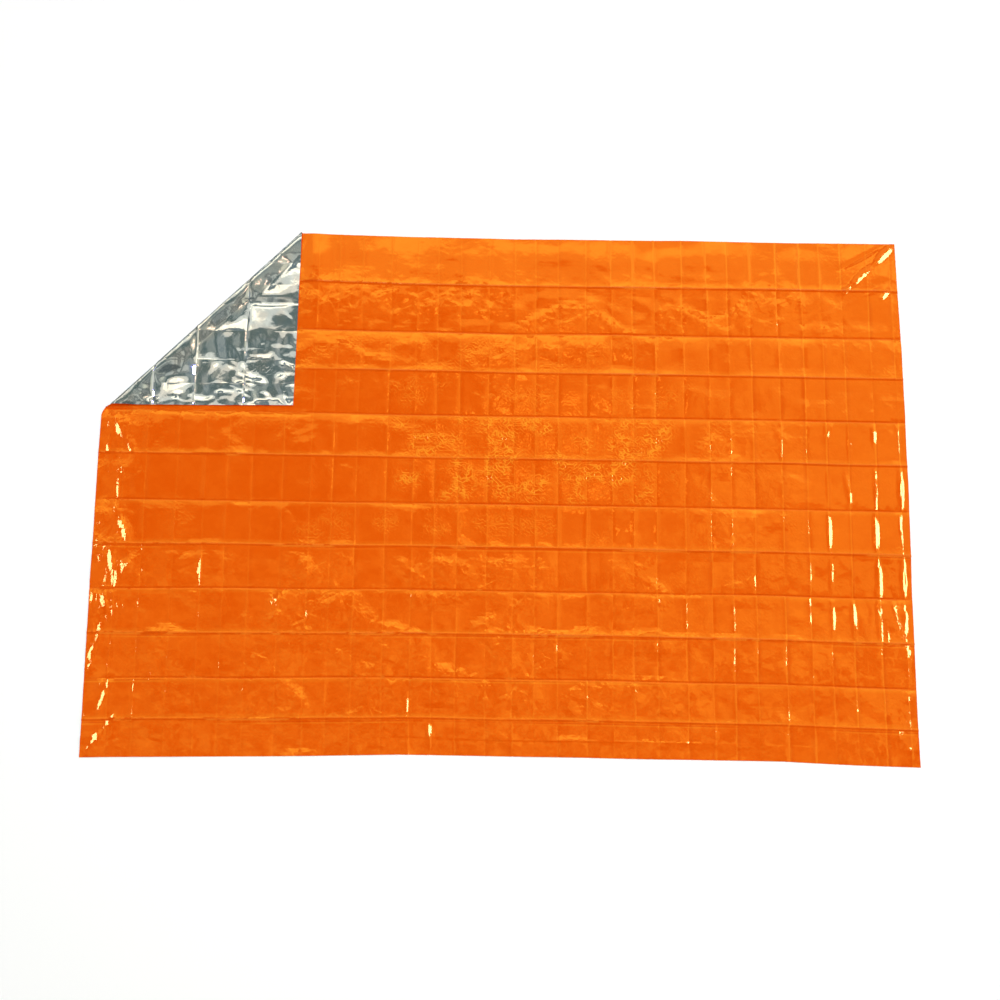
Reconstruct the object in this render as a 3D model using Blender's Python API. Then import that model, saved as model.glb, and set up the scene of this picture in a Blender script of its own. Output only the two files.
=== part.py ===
"""An emergency foil blanket, opened out of its pack and laid flat, with one corner turned over on top.

It is one metallised film, orange on its upper face and silver on its under face. Metres, +Z up. The origin is
on the surface below the middle of the blanket, +X runs along its long sides and +Y to its far long side.

A place on the film is given as (along, across): the distance from its left edge and from its far edge, before
the corner is turned. The corner at (0, 0) is the one that is turned over.
"""

import math
from collections import namedtuple

import bmesh
import bpy
import numpy as np
from mathutils import Vector, noise

LENGTH = 2.130
WIDTH = 1.420
THICKNESS = 0.0012

# Creases along the film, left by the pleats of its pack. One with a ridge height stands up; one without is a
# trough, whose line touches the surface between two low lips.
Pleat = namedtuple("Pleat", "across ridge")
PLEATS = (
    Pleat(across=0.139, ridge=0.0034),
    Pleat(across=0.274, ridge=0.0),
    Pleat(across=0.387, ridge=0.0030),
    Pleat(across=0.509, ridge=0.0),
    Pleat(across=0.628, ridge=0.0034),
    Pleat(across=0.753, ridge=0.0),
    Pleat(across=0.871, ridge=0.0038),
    Pleat(across=0.987, ridge=0.0),
    Pleat(across=1.104, ridge=0.0034),
    Pleat(across=1.220, ridge=0.0),
    Pleat(across=1.325, ridge=0.0030),
)
PLEAT_FLANK = 0.012
TROUGH_LIP = 0.0018

# Creases across the film. They come in groups of four, and each group is a little shorter than the one before.
# A crease that is a ridge in one strip between two pleats is a trough in the next. The far strip is an even one.
GROUP_STARTS = (0.002, 0.280, 0.554, 0.822, 1.086, 1.346, 1.606, 1.863, 2.111)
LAST_GROUP = 0.250
CrossCrease = namedtuple("CrossCrease", "share ridge_in_even_strips")
CROSS_CREASES = (
    CrossCrease(share=0.000, ridge_in_even_strips=False),
    CrossCrease(share=0.213, ridge_in_even_strips=True),
    CrossCrease(share=0.446, ridge_in_even_strips=True),
    CrossCrease(share=0.737, ridge_in_even_strips=True),
)
CROSS_RIDGE = 0.0016
# How high the film stands between two cross creases that are both troughs.
PANEL_RISE = 0.0012
EDGE_CLEARANCE = 0.012
ON_A_LINE = 1e-6

# How far the long edges are drawn in, at points along them.
LongEdges = namedtuple("LongEdges", "along far near")
LONG_EDGES = (
    LongEdges(along=0.00, far=0.000, near=0.000),
    LongEdges(along=0.21, far=0.002, near=0.005),
    LongEdges(along=0.56, far=0.005, near=0.011),
    LongEdges(along=0.80, far=0.009, near=0.017),
    LongEdges(along=1.10, far=0.008, near=0.016),
    LongEdges(along=1.50, far=0.004, near=0.013),
    LongEdges(along=1.78, far=0.002, near=0.011),
    LongEdges(along=1.96, far=0.001, near=0.004),
    LongEdges(along=2.13, far=-0.001, near=0.000),
)

# How far the short edges are drawn in, at points across the film. A value below zero stands out.
ShortEdges = namedtuple("ShortEdges", "across left right")
SHORT_EDGES = (
    ShortEdges(across=0.00, left=0.000, right=0.004),
    ShortEdges(across=0.30, left=0.000, right=-0.001),
    ShortEdges(across=0.50, left=-0.004, right=-0.003),
    ShortEdges(across=0.72, left=-0.005, right=-0.002),
    ShortEdges(across=0.98, left=-0.004, right=0.001),
    ShortEdges(across=1.25, left=-0.003, right=0.002),
    ShortEdges(across=1.42, left=-0.001, right=0.000),
)

# The turned corner: where the outline of its soft bend meets the left and the far edge, how round the bend is
# at those ends, where the film's own corner comes to lie, and how high it lies there.
BEND_LEFT = Vector((0.019, 0.497))
BEND_FAR = Vector((0.499, 0.004))
RADIUS_LEFT = 0.0085
RADIUS_FAR = 0.0050
CORNER_LIES_AT = Vector((0.499, 0.492))
CORNER_HEIGHT = 0.0080
# How far the turned film has slipped along the bend at the bend's two ends.
SLIP_LEFT = 0.014
SLIP_FAR = 0.007
BEND_STEPS = 8
CUT_SNAP = 0.0005
EDGE_DRAW_FADE = 0.020
# How much of the film's relief is left where the turned corner holds it down, and how soon it comes back.
PRESSED_RELIEF = 0.35
RELIEF_FADE = 0.040

# Pulls and lifted places: the middle of each, how far it reaches along and across, and how high it stands.
Lift = namedtuple("Lift", "along across reach_along reach_across height")
LIFTS = (
    Lift(along=2.130, across=1.420, reach_along=0.090, reach_across=0.070, height=0.0060),
    Lift(along=2.130, across=0.000, reach_along=0.080, reach_across=0.080, height=0.0035),
    Lift(along=2.130, across=0.800, reach_along=0.030, reach_across=0.220, height=0.0030),
    Lift(along=0.000, across=1.420, reach_along=0.080, reach_across=0.060, height=0.0035),
    Lift(along=0.000, across=1.000, reach_along=0.025, reach_across=0.200, height=0.0030),
    Lift(along=0.860, across=1.380, reach_along=0.030, reach_across=0.040, height=0.0035),
    Lift(along=0.480, across=1.060, reach_along=0.090, reach_across=0.030, height=0.0025),
)
UNEVEN_HEIGHT = 0.0022
UNEVEN_SIZE = 0.140
FLAP_CRUMPLE_HEIGHT = 0.0018
FLAP_CRUMPLE_SIZE = 0.045
FLAP_CRUMPLE_FADE = 0.030

# The calm ground right of the middle, where nothing but the ridges of the creases leaves the surface: its
# middle, how far it reaches along and across, and the share of that reach over which the relief comes back.
CALM_MIDDLE = Vector((1.320, 0.640))
CALM_REACH = Vector((0.400, 0.280))
CALM_FADE = 0.400

ORANGE = (0.830, 0.115, 0.004, 1.0)
SILVER = (0.760, 0.760, 0.720, 1.0)


def film_material(name, colour, roughness, metallic):
    material = bpy.data.materials.new(name)
    material.use_nodes = True
    shader = material.node_tree.nodes["Principled BSDF"]
    shader.inputs["Base Color"].default_value = colour
    shader.inputs["Roughness"].default_value = roughness
    shader.inputs["Metallic"].default_value = metallic
    material.diffuse_color = colour
    return material


def smooth(share):
    """0 below 0 and 1 above 1, with a soft step between."""
    share = min(max(share, 0.0), 1.0)
    return share * share * (3.0 - 2.0 * share)


def table_value(rows, key, column, place):
    """A column of a table, read between its rows."""
    places = [getattr(row, key) for row in rows]
    values = [getattr(row, column) for row in rows]
    return float(np.interp(place, places, values))


def cross_creases():
    """(distance from the left edge, ridge_in_even_strips) of each crease across the film."""
    found = []
    ends = GROUP_STARTS[1:] + (GROUP_STARTS[-1] + LAST_GROUP,)
    for start, end in zip(GROUP_STARTS, ends):
        for crease in CROSS_CREASES:
            along = start + crease.share * (end - start)
            if EDGE_CLEARANCE < along < LENGTH - EDGE_CLEARANCE:
                found.append((along, crease.ridge_in_even_strips))
    return found


def lines_across(creases):
    """Where the grid has its lines along the film's length: at each crease and halfway between two creases."""
    stops = [0.0] + [along for along, _ in creases] + [LENGTH]
    halfway = [(low + high) / 2.0 for low, high in zip(stops, stops[1:]) if high - low > 3 * EDGE_CLEARANCE]
    return sorted(stops + halfway)


def lines_along():
    """Where the grid has its lines across the film's width: at each pleat and on both of its sides."""
    stops = [0.0, WIDTH]
    for pleat in PLEATS:
        stops += [pleat.across - PLEAT_FLANK, pleat.across, pleat.across + PLEAT_FLANK]
    return sorted(stops)


def ridge_height(across):
    """The height of the pleat ridge at this distance from the far edge."""
    steepest = max(PLEATS, key=lambda pleat: pleat.ridge * (1.0 - abs(across - pleat.across) / PLEAT_FLANK))
    return max(0.0, steepest.ridge * (1.0 - abs(across - steepest.across) / PLEAT_FLANK))


def in_even_strip(across):
    return sum(pleat.across < across for pleat in PLEATS) % 2 == 0


def clear_of_pleats(across):
    """0 on a pleat and 1 outside its flanks."""
    return min(min(abs(across - pleat.across) for pleat in PLEATS) / PLEAT_FLANK, 1.0)


def lip_height(across):
    """The height of the low lips on both sides of a pleat's trough."""
    away = min(abs(across - pleat.across) for pleat in PLEATS if pleat.ridge == 0.0) / PLEAT_FLANK
    return max(0.0, TROUGH_LIP * (1.0 - abs(away - 1.0)))


def cross_ridge(along, across, creases):
    """The height of the cross crease that runs through this place, if it is a ridge in this strip."""
    nearest, ridge_in_even_strips = min(creases, key=lambda crease: abs(along - crease[0]))
    on_ridge = abs(along - nearest) < ON_A_LINE and ridge_in_even_strips == in_even_strip(across)
    return CROSS_RIDGE * clear_of_pleats(across) if on_ridge else 0.0


def panel_rise(along, across, creases):
    """How high the film stands between two cross creases that are troughs."""
    halfway = min(abs(along - crease[0]) for crease in creases) > ON_A_LINE
    return PANEL_RISE * clear_of_pleats(across) if halfway and not in_even_strip(across) else 0.0


def calm(along, across):
    """0 on the calm ground and 1 away from it."""
    away = math.hypot((along - CALM_MIDDLE.x) / CALM_REACH.x, (across - CALM_MIDDLE.y) / CALM_REACH.y)
    return smooth((away - 1.0) / CALM_FADE)


def lifted_height(along, across):
    height = 0.0
    for lift in LIFTS:
        away = math.hypot((along - lift.along) / lift.reach_along, (across - lift.across) / lift.reach_across)
        height += lift.height * (1.0 - smooth(away))
    return height


def uneven_height(along, across):
    """Low swells with flat ground between them."""
    place = Vector((along / UNEVEN_SIZE, across / UNEVEN_SIZE, 0.0))
    return UNEVEN_HEIGHT * max(0.0, 2.0 * noise.noise(place))


def film_height(along, across, creases):
    """The height of the film's under face over the surface that the film lies on."""
    swell = lip_height(across) + panel_rise(along, across, creases)
    swell += lifted_height(along, across) + uneven_height(along, across)
    return ridge_height(across) + cross_ridge(along, across, creases) + swell * calm(along, across)


def drawn_in(along, across):
    """How far a point of the film lies from its place on a flat rectangle, as the edges are drawn in."""
    far = table_value(LONG_EDGES, "along", "far", along)
    near = table_value(LONG_EDGES, "along", "near", along)
    left = table_value(SHORT_EDGES, "across", "left", across)
    right = table_value(SHORT_EDGES, "across", "right", across)
    to_right = along / LENGTH
    to_near = across / WIDTH
    return Vector((
        left * (1.0 - to_right) ** 2 - right * to_right**2,
        far * (1.0 - to_near) ** 2 - near * to_near**2,
    ))


class Bend:
    """The soft diagonal bend of the turned corner, and the film beyond it."""

    def __init__(self):
        outline = (BEND_FAR - BEND_LEFT).normalized()
        outwards = Vector((outline.y, -outline.x))
        self.start = BEND_LEFT - outwards * RADIUS_LEFT
        end = BEND_FAR - outwards * RADIUS_FAR
        self.length = (end - self.start).length
        self.along_bend = (end - self.start).normalized()
        self.outwards = Vector((self.along_bend.y, -self.along_bend.x))
        corner = self.coordinates(Vector((0.0, 0.0)))
        lies_at = self.coordinates(CORNER_LIES_AT)
        self.corner_beyond = corner[1] - math.pi * self.radius(corner[0])
        self.shrink = -lies_at[1] / self.corner_beyond
        self.corner_slip = lies_at[0] - corner[0] - self.slip(corner[0])

    def coordinates(self, place):
        """(distance along the bend, distance beyond its start)."""
        offset = place - self.start
        return offset.dot(self.along_bend), offset.dot(self.outwards)

    def radius(self, along_bend):
        share = min(max(along_bend / self.length, 0.0), 1.0)
        return RADIUS_LEFT + share * (RADIUS_FAR - RADIUS_LEFT)

    def slip(self, along_bend):
        share = min(max(along_bend / self.length, 0.0), 1.0)
        return SLIP_LEFT + share * (SLIP_FAR - SLIP_LEFT)

    def cut_lines(self):
        """(place, direction across the cut) of each line of the bend's faceted round."""
        for step in range(BEND_STEPS + 1):
            turned = math.pi * step / BEND_STEPS
            first = self.start + self.outwards * turned * RADIUS_LEFT
            last = self.start + self.along_bend * self.length + self.outwards * turned * RADIUS_FAR
            direction = (last - first).normalized()
            yield first, Vector((direction.y, -direction.x))

    def turned(self, along, across, height):
        """The point over the surface of this place on the film, at this height over the film's own plane."""
        reach, beyond = self.coordinates(Vector((along, across)))
        shift = drawn_in(along, across) * (1.0 - smooth(beyond / EDGE_DRAW_FADE))
        radius = self.radius(reach)
        bend_length = math.pi * radius
        slip = 0.0
        if beyond <= 0.0:
            out = beyond
            level = height
        elif beyond < bend_length:
            angle = beyond / radius
            inner = radius - height
            out = inner * math.sin(angle)
            level = radius - inner * math.cos(angle)
            slip = self.slip(reach) * smooth(beyond / bend_length)
        else:
            past = beyond - bend_length
            out = -past * self.shrink
            settled = smooth(past / self.corner_beyond)
            level = 2.0 * radius - height + settled * (CORNER_HEIGHT - 2.0 * radius)
            level += self.crumple(along, across) * smooth(past / FLAP_CRUMPLE_FADE)
            slip = self.slip(reach) + self.corner_slip * past / self.corner_beyond
        where = self.start + self.along_bend * (reach + slip) + self.outwards * out + shift
        return Vector((where.x, where.y, level))

    def crumple(self, along, across):
        place = Vector((along / FLAP_CRUMPLE_SIZE, across / FLAP_CRUMPLE_SIZE, 0.0))
        return FLAP_CRUMPLE_HEIGHT * noise.noise(place)

    def relief(self, along, across):
        """The share of the film's relief that is left where the turned corner holds it down."""
        beyond = self.coordinates(Vector((along, across)))[1]
        clear_of_corner = max((along - CORNER_LIES_AT.x), (across - CORNER_LIES_AT.y)) / RELIEF_FADE
        if beyond > 0.0:
            return PRESSED_RELIEF
        return PRESSED_RELIEF + (1.0 - PRESSED_RELIEF) * smooth(clear_of_corner)


def flat_grid(columns, rows):
    """A grid in the film's own plane with its lines at the given distances."""
    mesh = bmesh.new()
    bmesh.ops.create_grid(mesh, x_segments=len(columns) - 1, y_segments=len(rows) - 1, size=0.5)
    for vertex in mesh.verts:
        column = round((vertex.co.x + 0.5) * (len(columns) - 1))
        row = round((vertex.co.y + 0.5) * (len(rows) - 1))
        vertex.co = (columns[column], rows[row], 0.0)
    return mesh


def blanket():
    """The film's under face, turned over at its corner."""
    creases = cross_creases()
    bend = Bend()
    mesh = flat_grid(lines_across(creases), lines_along())
    for place, direction in bend.cut_lines():
        everything = mesh.verts[:] + mesh.edges[:] + mesh.faces[:]
        bmesh.ops.bisect_plane(
            mesh, geom=everything, plane_co=place.to_3d(), plane_no=direction.to_3d(), dist=CUT_SNAP
        )
    bmesh.ops.triangulate(mesh, faces=[face for face in mesh.faces if len(face.verts) > 4])
    for vertex in mesh.verts:
        along, across = vertex.co.x, vertex.co.y
        height = film_height(along, across, creases) * bend.relief(along, across)
        point = bend.turned(along, across, height)
        vertex.co = (point.x - LENGTH / 2.0, WIDTH / 2.0 - point.y, point.z)
    bmesh.ops.reverse_faces(mesh, faces=mesh.faces[:])
    return mesh


def main():
    for thing in list(bpy.data.objects):
        bpy.data.objects.remove(thing, do_unlink=True)

    film = bpy.data.meshes.new("blanket")
    shape = blanket()
    shape.to_mesh(film)
    shape.free()
    film.materials.append(film_material("orange_film", ORANGE, 0.22, 0.35))
    film.materials.append(film_material("silver_film", SILVER, 0.12, 1.0))

    sheet = bpy.data.objects.new("blanket", film)
    bpy.context.scene.collection.objects.link(sheet)
    wall = sheet.modifiers.new("Thickness", "SOLIDIFY")
    wall.thickness = THICKNESS
    wall.offset = 1.0
    wall.use_even_offset = True
    wall.material_offset = 1
    wall.material_offset_rim = 1


main()
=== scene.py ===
"""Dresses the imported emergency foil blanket: its creased two-faced film, the finishes, light and camera.

Metres, in the part's own frame. A place on the film is (along, across): the distance from its left edge and
from its far edge, before the corner at (0, 0) is turned over.
"""

import math
from collections import namedtuple

import bmesh
import bpy
import numpy as np
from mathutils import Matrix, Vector, noise


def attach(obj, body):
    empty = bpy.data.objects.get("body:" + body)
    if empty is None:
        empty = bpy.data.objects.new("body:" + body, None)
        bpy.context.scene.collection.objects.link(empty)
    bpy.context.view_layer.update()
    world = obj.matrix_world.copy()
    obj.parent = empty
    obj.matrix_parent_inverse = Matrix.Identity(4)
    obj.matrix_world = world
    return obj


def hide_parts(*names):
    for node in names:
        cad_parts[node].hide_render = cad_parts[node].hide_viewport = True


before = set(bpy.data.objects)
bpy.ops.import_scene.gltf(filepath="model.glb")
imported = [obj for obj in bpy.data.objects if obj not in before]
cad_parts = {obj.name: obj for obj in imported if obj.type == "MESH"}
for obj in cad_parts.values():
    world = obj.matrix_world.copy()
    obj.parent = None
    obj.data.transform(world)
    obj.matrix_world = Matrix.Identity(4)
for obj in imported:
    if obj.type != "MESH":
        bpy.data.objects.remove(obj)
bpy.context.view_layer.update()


def table(kind, *rows):
    """Rows of numbers, with the names of their columns."""
    return tuple(kind(*row) for row in rows)


# ----- The film's sizes and creases -----

LENGTH = 2.130
WIDTH = 1.420
FILM_THICKNESS = 0.0003
# How high the film stands over the surface between its creases.
FLOAT = 0.0024
# How near the film comes to the surface at its edges, and over what distance it settles there.
EDGE_FLOAT = 0.0010
EDGE_SETTLE = 0.060

# Creases along the film, left by the pleats of its pack: a ridge where way is 1, a trough where it is -1.
Pleat = namedtuple("Pleat", "across way height")
PLEATS = table(
    Pleat,
    (0.139, 1, 0.0032),
    (0.274, -1, 0.0028),
    (0.387, 1, 0.0028),
    (0.509, -1, 0.0026),
    (0.628, 1, 0.0028),
    (0.753, -1, 0.0028),
    (0.871, 1, 0.0030),
    (0.987, -1, 0.0028),
    (1.104, 1, 0.0030),
    (1.220, -1, 0.0028),
    (1.325, 1, 0.0022),
)
# How wide each flank of such a crease is, and how far the soft tail beside it reaches.
PLEAT_FLANK = 0.0044
PLEAT_TAIL = 0.0060
# How unevenly high each pleat's crease is along its length, and over what distance.
PLEAT_UNEVEN = 0.5
PLEAT_UNEVEN_SIZE = 0.22
# The share of a crease's height that is in its straight flanks; the rest is in its soft tail.
CREST_SHARP = 0.55
# A weaker crease beside the near edge.
LAST_CREASE = 1.377

# Creases across the film, in groups of four. One that is a ridge in one strip between two pleats is a trough
# in the next; way is its sense in the far strip.
GROUP_STARTS = (0.002, 0.280, 0.554, 0.822, 1.086, 1.346, 1.606, 1.863, 2.111)
LAST_GROUP = 0.250
CrossCrease = namedtuple("CrossCrease", "share way")
CROSS_CREASES = table(
    CrossCrease,
    (0.000, -1),
    (0.213, 1),
    (0.446, 1),
    (0.737, 1),
)
CROSS_FLANK = 0.0036
CROSS_TAIL = 0.0080
CROSS_HEIGHT = 0.0015
# The least and the most of its strength that a cross crease has in a strip, by chance.
CROSS_CHANCE = (0.40, 1.15)
# How far from a pleat's line a cross crease reaches its height, and how near the short edges there is none.
PLEAT_CLEARANCE = 0.008
EDGE_CLEARANCE = 0.012
# The strength of the cross creases at places along the film.
CrossStrength = namedtuple("CrossStrength", "along strength")
CROSS_STRENGTHS = table(
    CrossStrength,
    (0.00, 0.35),
    (0.55, 0.40),
    (0.85, 0.60),
    (1.30, 0.70),
    (1.80, 0.70),
    (1.90, 0.42),
    (2.13, 0.32),
)
# How strongly a painted highlight is laid along the cross creases at places along the film, the least and the
# most of that in a strip by chance, and how strongly along the pleats, with the size of their uneven
# stretches. Beside each pale line a painted shade darkens the film, by a share of the line's strength.
PAINTED_CREASE_STRENGTHS = table(
    CrossStrength,
    (0.00, 0.25),
    (0.55, 0.24),
    (1.50, 0.48),
    (2.00, 0.90),
)
PAINTED_LIGHT_CHANCE = (0.05, 1.0)
CROSS_SHADE = 0.7
PLEAT_PAINTED_LIGHT = 0.50
PLEAT_PAINTED_LIGHT_SIZE = 0.16
PLEAT_SHADE = 0.8
# The panels between the creases: how much higher the pleats' ridges stand than their troughs, how far each
# crossing of two creases stands off that by chance, and how far each panel bulges, at most.
STRIP_RISE = 0.0007
CROSSING_LIFT = 0.00035
PANEL_BULGE = 0.00030
TURNED_CROSSING_LIFT = 0.0024
TURNED_PANEL_BULGE = 0.0030
# The wave from the far to the near side of each strip, counted from the far one, and how uneven it is.
STRIP_WAVES = (-0.0001, 0.0004, 0.0004, 0.0001, 0.0, 0.0, 0.0, 0.0001, 0.0001, 0.0, 0.0001, 0.0)
STRIP_UNEVEN = 0.8
STRIP_UNEVEN_SIZE = 0.25
# Swells over the whole film, and over its turned corner alone.
Swell = namedtuple("Swell", "size stretch height")
SWELLS = table(
    Swell,
    (0.090, 2.0, 0.0010),
    (0.038, 2.2, 0.0004),
)
TURNED_SWELL = Swell(0.050, 1.0, 0.0008)

# How far the long edges are drawn in, at points along them.
LongEdges = namedtuple("LongEdges", "along far near")
LONG_EDGES = table(
    LongEdges,
    (0.00, 0.000, 0.000),
    (0.21, 0.002, 0.005),
    (0.56, 0.005, 0.011),
    (0.80, 0.009, 0.017),
    (1.10, 0.008, 0.016),
    (1.50, 0.004, 0.013),
    (1.78, 0.002, 0.011),
    (1.96, 0.001, 0.004),
    (2.13, -0.001, 0.000),
)

# How far the short edges are drawn in, at points across the film. A value below zero stands out.
ShortEdges = namedtuple("ShortEdges", "across left right")
SHORT_EDGES = table(
    ShortEdges,
    (0.00, 0.000, 0.004),
    (0.30, 0.000, -0.001),
    (0.50, -0.004, -0.003),
    (0.72, -0.005, -0.002),
    (0.98, -0.004, 0.001),
    (1.25, -0.003, 0.002),
    (1.42, -0.001, 0.000),
)

# The turned corner: where the outline of its soft bend meets the left and the far edge, how round the bend is
# at those ends, where the film's own corner comes to lie, and how high it lies there.
BEND_LEFT = Vector((0.019, 0.497))
BEND_FAR = Vector((0.499, 0.004))
RADIUS_LEFT = 0.0085
RADIUS_FAR = 0.0050
CORNER_LIES_AT = Vector((0.499, 0.492))
CORNER_HEIGHT = 0.0070
# The share of the turned corner over which it sinks from its bend to that height.
SINKING_SHARE = 0.17
# The lowest that any of it lies.
LOWEST_TURNED = 0.0032
# How far the film slips along the bend, at its two ends.
SLIP_LEFT = 0.014
SLIP_FAR = 0.007
# In how many steps the bend's round is cut, and how far beyond its start the edges are still drawn in.
BEND_STEPS = 10
EDGE_DRAW_FADE = 0.020
# The share of the film's relief that is left under the turned corner and in it, and where it comes back.
PRESSED_RELIEF = 0.35
TURNED_RELIEF = 0.42
RELIEF_FADE = 0.040
# Over what distance past the bend the turned corner's own crumples and the folds along its bend begin.
CRUMPLES_BEGIN = 0.030
BEND_FOLDS_BEGIN = 0.006

# ----- Pulls and crumples -----

# How wide a fold is at its ends, as a share of its width at the middle.
FOLD_END_WIDTH = 0.4
# Straight folds, given one by one: their two ends, half their width, and their height at the middle.
Fold = namedtuple("Fold", "along across to_along to_across half_width height")
PULLS = table(
    Fold,
    (1.918, 0.510, 1.918, 0.570, 0.0075, 0.0019),
    (1.921, 0.512, 1.934, 0.532, 0.0060, 0.0015),
    (2.041, 0.508, 2.041, 0.585, 0.0085, 0.0020),
    (2.098, 0.506, 2.113, 0.545, 0.0080, 0.0018),
    (1.975, 0.520, 1.977, 0.620, 0.0080, 0.0011),
    (1.916, 0.628, 1.916, 0.756, 0.0065, 0.0016),
    (1.972, 0.680, 1.974, 0.756, 0.0060, 0.0012),
    (2.040, 0.628, 2.043, 0.756, 0.0075, 0.0018),
    (2.106, 0.625, 2.108, 0.760, 0.0110, 0.0024),
    (1.795, 0.670, 1.796, 0.758, 0.0055, 0.0013),
    (1.917, 0.750, 1.917, 0.874, 0.0085, 0.0021),
    (2.039, 0.750, 2.039, 0.874, 0.0105, 0.0024),
    (2.104, 0.752, 2.106, 0.840, 0.0060, 0.0014),
    (1.917, 0.868, 1.917, 0.990, 0.0080, 0.0020),
    (1.972, 0.885, 1.976, 0.992, 0.0065, 0.0016),
    (2.042, 0.868, 2.046, 0.990, 0.0110, 0.0025),
    (2.105, 0.868, 2.108, 0.990, 0.0115, 0.0025),
    (2.034, 0.960, 2.040, 0.992, 0.0070, 0.0015),
    (1.795, 0.915, 1.796, 0.990, 0.0055, 0.0013),
    (1.918, 0.985, 1.919, 1.095, 0.0075, 0.0019),
    (1.972, 0.985, 1.977, 1.108, 0.0100, 0.0024),
    (2.039, 0.984, 2.041, 1.108, 0.0100, 0.0023),
    (2.076, 0.990, 2.086, 1.040, 0.0070, 0.0016),
    (2.104, 0.988, 2.110, 1.080, 0.0080, 0.0018),
    (2.060, 1.050, 2.062, 1.105, 0.0060, 0.0013),
    (1.858, 0.986, 1.859, 1.060, 0.0055, 0.0013),
    (1.935, 1.225, 1.950, 1.262, 0.0080, 0.0019),
    (2.100, 1.110, 2.106, 1.150, 0.0080, 0.0018),
    (2.098, 1.240, 2.112, 1.265, 0.0070, 0.0015),
    (0.278, 0.870, 0.281, 0.985, 0.0070, 0.0019),
    (0.338, 0.715, 0.338, 0.760, 0.0060, 0.0016),
    (0.340, 1.145, 0.340, 1.225, 0.0065, 0.0018),
    (0.606, 1.220, 0.606, 1.300, 0.0060, 0.0019),
    (0.058, 0.690, 0.058, 0.755, 0.0060, 0.0013),
    (0.050, 0.755, 0.056, 0.805, 0.0070, 0.0015),
    (0.050, 0.545, 0.075, 0.575, 0.0070, 0.0015),
    (0.078, 0.572, 0.105, 0.628, 0.0060, 0.0013),
    (0.062, 0.800, 0.092, 0.872, 0.0080, 0.0018),
    (0.078, 0.795, 0.108, 0.872, 0.0060, 0.0014),
    (0.046, 0.880, 0.060, 0.965, 0.0085, 0.0019),
    (0.066, 0.940, 0.070, 0.985, 0.0060, 0.0013),
    (0.036, 0.988, 0.050, 1.068, 0.0100, 0.0022),
    (0.056, 0.988, 0.066, 1.085, 0.0070, 0.0015),
    (0.072, 1.000, 0.076, 1.060, 0.0050, 0.0011),
    (0.130, 1.025, 0.132, 1.058, 0.0060, 0.0014),
    (0.012, 0.985, 0.006, 1.050, 0.0060, 0.0013),
    (0.012, 1.062, 0.018, 1.125, 0.0070, 0.0015),
    (0.040, 1.070, 0.022, 1.145, 0.0075, 0.0016),
    (0.024, 1.115, 0.012, 1.205, 0.0100, 0.0022),
    (0.064, 1.120, 0.058, 1.218, 0.0065, 0.0014),
    (0.134, 1.230, 0.134, 1.282, 0.0065, 0.0015),
    (0.066, 1.230, 0.036, 1.325, 0.0080, 0.0018),
    (0.046, 1.220, 0.040, 1.262, 0.0060, 0.0013),
    (0.096, 1.335, 0.066, 1.378, 0.0070, 0.0015),
    (0.640, 1.372, 1.960, 1.382, 0.0060, 0.0018),
    (0.545, -0.060, 0.545, 0.200, 0.0450, 0.0042),
    (0.508, 0.100, 0.575, 0.139, 0.0100, -0.0016),
    (2.060, 1.430, 2.135, 1.385, 0.0260, -0.0030),
    (2.134, -0.004, 2.062, 0.066, 0.0130, 0.0042),
    (2.070, 0.058, 1.984, 0.138, 0.0120, 0.0040),
    (1.998, 0.124, 1.972, 0.152, 0.0095, 0.0030),
    (2.112, 0.124, 2.078, 0.166, 0.0095, 0.0030),
    (2.095, 0.005, 1.960, 0.085, 0.010, -0.0020),
    (2.018, 0.163, 1.900, 0.232, 0.016, 0.0012),
    (2.110, 0.120, 2.020, 0.160, 0.008, 0.0016),
    (0.402, 1.104, 0.552, 1.020, 0.014, 0.0026),
    (0.020, 1.400, 0.110, 1.290, 0.011, 0.0030),
    (0.045, 1.405, 0.140, 1.330, 0.010, -0.0018),
    (1.830, 1.330, 1.900, 1.235, 0.012, 0.0020),
    (1.890, 1.340, 1.960, 1.250, 0.010, 0.0018),
    (2.050, 1.290, 2.115, 1.405, 0.012, 0.0026),
    (0.8785, 1.335, 0.8770, 1.412, 0.0075, 0.0048),
    (0.820, 1.260, 0.812, 1.345, 0.009, 0.0024),
    (0.770, 1.180, 0.740, 1.290, 0.010, 0.0016),
    (0.560, 1.300, 0.700, 1.260, 0.014, 0.0018),
    (0.060, 0.560, 0.105, 0.650, 0.010, 0.0022),
    (0.030, 0.520, 0.075, 0.600, 0.009, 0.0018),
    (0.055, 0.770, 0.100, 0.880, 0.010, 0.0024),
    (1.930, 0.880, 2.010, 0.950, 0.010, 0.0016),
    (1.960, 0.640, 1.975, 0.740, 0.010, 0.0014),
)

# The least and the most of its length, width and height that a scattered fold has by chance.
LENGTH_CHANCE = (0.5, 1.5)
WIDTH_CHANCE = (0.6, 1.6)
HEIGHT_CHANCE = (0.3, 1.0)
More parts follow.
